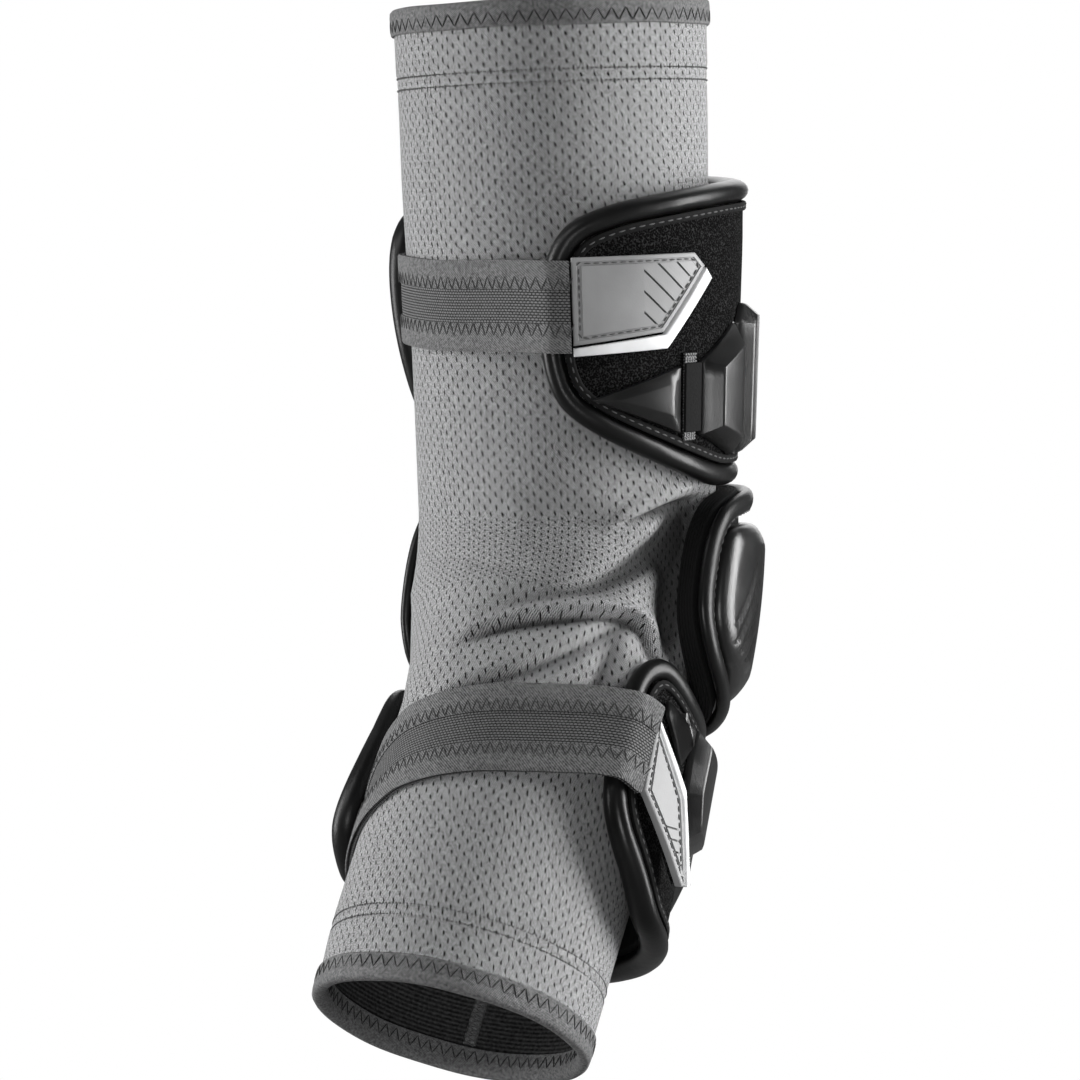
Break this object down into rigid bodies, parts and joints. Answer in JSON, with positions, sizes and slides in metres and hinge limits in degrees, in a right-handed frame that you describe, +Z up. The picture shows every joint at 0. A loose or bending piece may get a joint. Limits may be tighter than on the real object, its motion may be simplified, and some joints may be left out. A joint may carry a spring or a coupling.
{
  "type": "lacrosse arm pad",
  "caption": "Padded lacrosse arm guard: a bent knit sleeve with strapped upper arm and forearm shields and a hard elbow cap.",
  "frame": {"origin": "where the middle lines of the upper arm and the forearm cross, inside the elbow of the worn pad", "axes": "+Z up along the upper arm; -Y is the crook of the elbow and +Y its point; +X is the side where the straps fasten"},
  "size_m": [0.1182, 0.1768, 0.3136],
  "materials": {
    "knit": "grey polyester mesh knit with small punched slits",
    "binding": "dark grey woven binding",
    "roll_fabric": "smooth black stretch fabric over foam",
    "foam_fabric": "black fabric-faced foam",
    "loop_fabric": "black brushed loop fabric",
    "plastic": "satin black moulded plastic",
    "elastic": "ribbed grey woven elastic",
    "tape": "grey edge tape",
    "rubber": "matt grey moulded rubber",
    "white_rubber": "matt white moulded rubber"
  },
  "bodies": {
    "root": {"sleeve": "knit", "top_binding": "binding", "wrist_binding": "binding", "inner_seam": "binding", "elbow_pad": "foam_fabric", "elbow_edge_roll": "roll_fabric", "elbow_cap": "plastic", "upper_foam": "foam_fabric", "upper_edge_roll": "roll_fabric", "upper_loop_panel": "loop_fabric", "upper_plate_1": "plastic", "upper_plate_2": "plastic", "upper_plate_3": "plastic", "upper_plate_4": "plastic", "upper_plate_5": "plastic", "upper_plate_6": "plastic", "upper_plate_7": "plastic", "upper_strap": "elastic", "upper_strap_high_tape": "tape", "upper_strap_low_tape": "tape", "upper_tab_hook": "loop_fabric", "upper_tab": "rubber", "upper_tab_trim": "white_rubber", "forearm_foam": "foam_fabric", "forearm_edge_roll": "roll_fabric", "forearm_loop_panel": "loop_fabric", "forearm_plate_1": "plastic", "forearm_plate_2": "plastic", "forearm_plate_3": "plastic", "forearm_plate_4": "plastic", "forearm_plate_5": "plastic", "forearm_plate_6": "plastic", "forearm_strap": "elastic", "forearm_strap_high_tape": "tape", "forearm_strap_low_tape": "tape", "forearm_tab_hook": "loop_fabric", "forearm_tab": "rubber", "forearm_tab_trim": "white_rubber", "upper_hinge_mesh": "elastic", "upper_hinge_web": "roll_fabric"}
  },
  "joints": []
}
